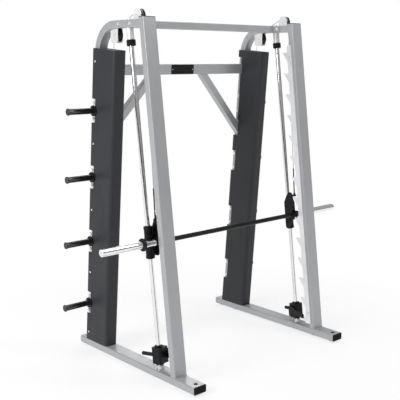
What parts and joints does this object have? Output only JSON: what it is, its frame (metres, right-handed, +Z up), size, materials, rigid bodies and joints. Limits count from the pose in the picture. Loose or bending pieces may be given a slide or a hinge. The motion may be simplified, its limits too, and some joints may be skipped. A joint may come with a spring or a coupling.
{
  "type": "smith machine",
  "caption": "Guided-barbell gym machine: two steel side frames, leaning guide rods, toothed racks, turning bar with hooks, safety stops, plate horns and covered counterweights.",
  "frame": {"origin": "middle of the footprint, on the floor", "axes": "+Z up, -Y towards the user's side with the leaning uprights, +X along the bar to the user's right"},
  "size_m": [2.252, 1.278, 2.4029],
  "materials": {
    "silver_paint": "satin",
    "black_rubber": "matte",
    "grey_plastic": "satin",
    "dark_plastic": "matte",
    "zinc": "satin",
    "black_gloss": "gloss",
    "zinc_plate": "satin",
    "chrome": "polished",
    "dark_paint": "satin",
    "black_paint": "satin",
    "pulley_plastic": "satin",
    "steel": "satin",
    "cast_iron": "matte",
    "black_sleeve": "satin",
    "grip": "matte"
  },
  "bodies": {
    "frame": {"base_rails": "silver_paint", "rail_front_caps": "black_rubber", "rail_rear_caps": "grey_plastic", "rubber_feet": "black_rubber", "front_uprights": "silver_paint", "upright_top_caps": "dark_plastic", "rear_uprights": "silver_paint", "rear_arch_tubes": "silver_paint", "top_cross_tube": "silver_paint", "cross_tube_bolts": "zinc", "rear_cross_tube": "silver_paint", "corner_braces": "silver_paint", "name_plate": "black_gloss", "rack_plates": "zinc_plate", "rack_bolts": "zinc", "guide_rods": "chrome", "rod_feet": "zinc_plate", "rod_top_holders": "zinc_plate", "rod_top_bumpers": "black_rubber", "rod_top_nuts": "zinc", "shrouds": "dark_paint", "shroud_top_caps": "dark_paint", "shroud_screws": "zinc", "horn_plates": "zinc_plate", "horn_bolts": "zinc", "horn_tubes": "black_paint", "horn_flanges": "black_paint", "horn_end_caps": "dark_plastic", "pulley_brackets": "zinc_plate", "pulley_axle_bolts": "zinc", "counterweight_guide_rods": "steel", "cable_rear_left": "steel", "cable_rear_right": "steel", "cable_front_runs": "steel", "cable_wraps": "steel"},
    "carriages": {"carriage_housings": "black_paint", "carriage_brackets": "black_paint", "linear_bearings": "steel", "cable_end_fittings": "black_sleeve"},
    "bar": {"bar_shaft": "black_paint", "bar_collars": "chrome", "bar_hooks": "black_paint"},
    "sleeve_left": {"sleeve_left": "chrome", "sleeve_disc_left": "black_paint", "sleeve_cap_left": "chrome"},
    "sleeve_right": {"sleeve_right": "chrome", "sleeve_disc_right": "black_paint", "sleeve_cap_right": "chrome"},
    "counterweight_left": {"counterweight_left": "cast_iron"},
    "counterweight_right": {"counterweight_right": "cast_iron"},
    "pulley_top_left": {"pulley_top_left": "pulley_plastic"},
    "pulley_top_right": {"pulley_top_right": "pulley_plastic"},
    "pulley_rear_left": {"pulley_rear_left": "pulley_plastic"},
    "pulley_rear_right": {"pulley_rear_right": "pulley_plastic"},
    "stop_left": {"stop_sleeve_left": "black_paint"},
    "stop_right": {"stop_sleeve_right": "black_paint"},
    "stop_hook_left": {"stop_hook_left": "black_paint", "stop_grip_left": "grip"},
    "stop_hook_right": {"stop_hook_right": "black_paint", "stop_grip_right": "grip"}
  },
  "joints": [
    {"name": "bar_slide", "type": "slide", "parent": "frame", "child": "carriages", "axis": [0, 0.1219, 0.9925], "range_m": [-0.3108, 0.9324], "deforming": ["cable_front_runs"]},
    {"name": "bar_turn", "type": "hinge", "parent": "carriages", "child": "bar", "pos_m": [0, -0.21298, 0.91701], "axis": [1, 0, 0], "range_deg": [0, 82]},
    {"name": "sleeve_spin_left", "type": "hinge", "parent": "bar", "child": "sleeve_left", "pos_m": [-0.96, -0.21298, 0.91701], "axis": [1, 0, 0], "continuous": true},
    {"name": "counterweight_slide_left", "type": "slide", "parent": "frame", "child": "counterweight_left", "axis": [0, -0.0872, 0.9962], "range_m": [-0.935, 0.3125], "deforming": ["cable_rear_left"]},
    {"name": "pulley_top_spin_left", "type": "hinge", "parent": "frame", "child": "pulley_top_left", "pos_m": [-0.684, -0.063, 2.363], "axis": [1, 0, 0], "range_deg": [-1577, 529]},
    {"name": "pulley_rear_spin_left", "type": "hinge", "parent": "frame", "child": "pulley_rear_left", "pos_m": [-0.684, 0.176, 2.243], "axis": [1, 0, 0], "range_deg": [-1411, 474]},
    {"name": "stop_slide_left", "type": "slide", "parent": "frame", "child": "stop_left", "axis": [0, 0.1219, 0.9925], "range_m": [0, 0.1554]},
    {"name": "stop_turn_left", "type": "hinge", "parent": "stop_left", "child": "stop_hook_left", "pos_m": [-0.693, -0.23228, 0.14934], "axis": [0, 0.1219, 0.9925], "range_deg": [-10, 25]},
    {"name": "sleeve_spin_right", "type": "hinge", "parent": "bar", "child": "sleeve_right", "pos_m": [0.96, -0.21298, 0.91701], "axis": [1, 0, 0], "continuous": true},
    {"name": "counterweight_slide_right", "type": "slide", "parent": "frame", "child": "counterweight_right", "axis": [0, -0.0872, 0.9962], "range_m": [-0.935, 0.3125], "deforming": ["cable_rear_right"]},
    {"name": "pulley_top_spin_right", "type": "hinge", "parent": "frame", "child": "pulley_top_right", "pos_m": [0.684, -0.063, 2.363], "axis": [1, 0, 0], "range_deg": [-1577, 529]},
    {"name": "pulley_rear_spin_right", "type": "hinge", "parent": "frame", "child": "pulley_rear_right", "pos_m": [0.684, 0.176, 2.243], "axis": [1, 0, 0], "range_deg": [-1411, 474]},
    {"name": "stop_slide_right", "type": "slide", "parent": "frame", "child": "stop_right", "axis": [0, 0.1219, 0.9925], "range_m": [0, 0.1554]},
    {"name": "stop_turn_right", "type": "hinge", "parent": "stop_right", "child": "stop_hook_right", "pos_m": [0.693, -0.23228, 0.14934], "axis": [0, 0.1219, 0.9925], "range_deg": [-25, 10]}
  ],
  "couplings": [
    {"joint": "counterweight_slide_left", "follows": "bar_slide", "ratio": -1},
    {"joint": "pulley_top_spin_left", "follows": "bar_slide", "rad_per_m": -29.412},
    {"joint": "pulley_rear_spin_left", "follows": "bar_slide", "rad_per_m": -26.316},
    {"joint": "counterweight_slide_right", "follows": "bar_slide", "ratio": -1},
    {"joint": "pulley_top_spin_right", "follows": "bar_slide", "rad_per_m": -29.412},
    {"joint": "pulley_rear_spin_right", "follows": "bar_slide", "rad_per_m": -26.316}
  ]
}
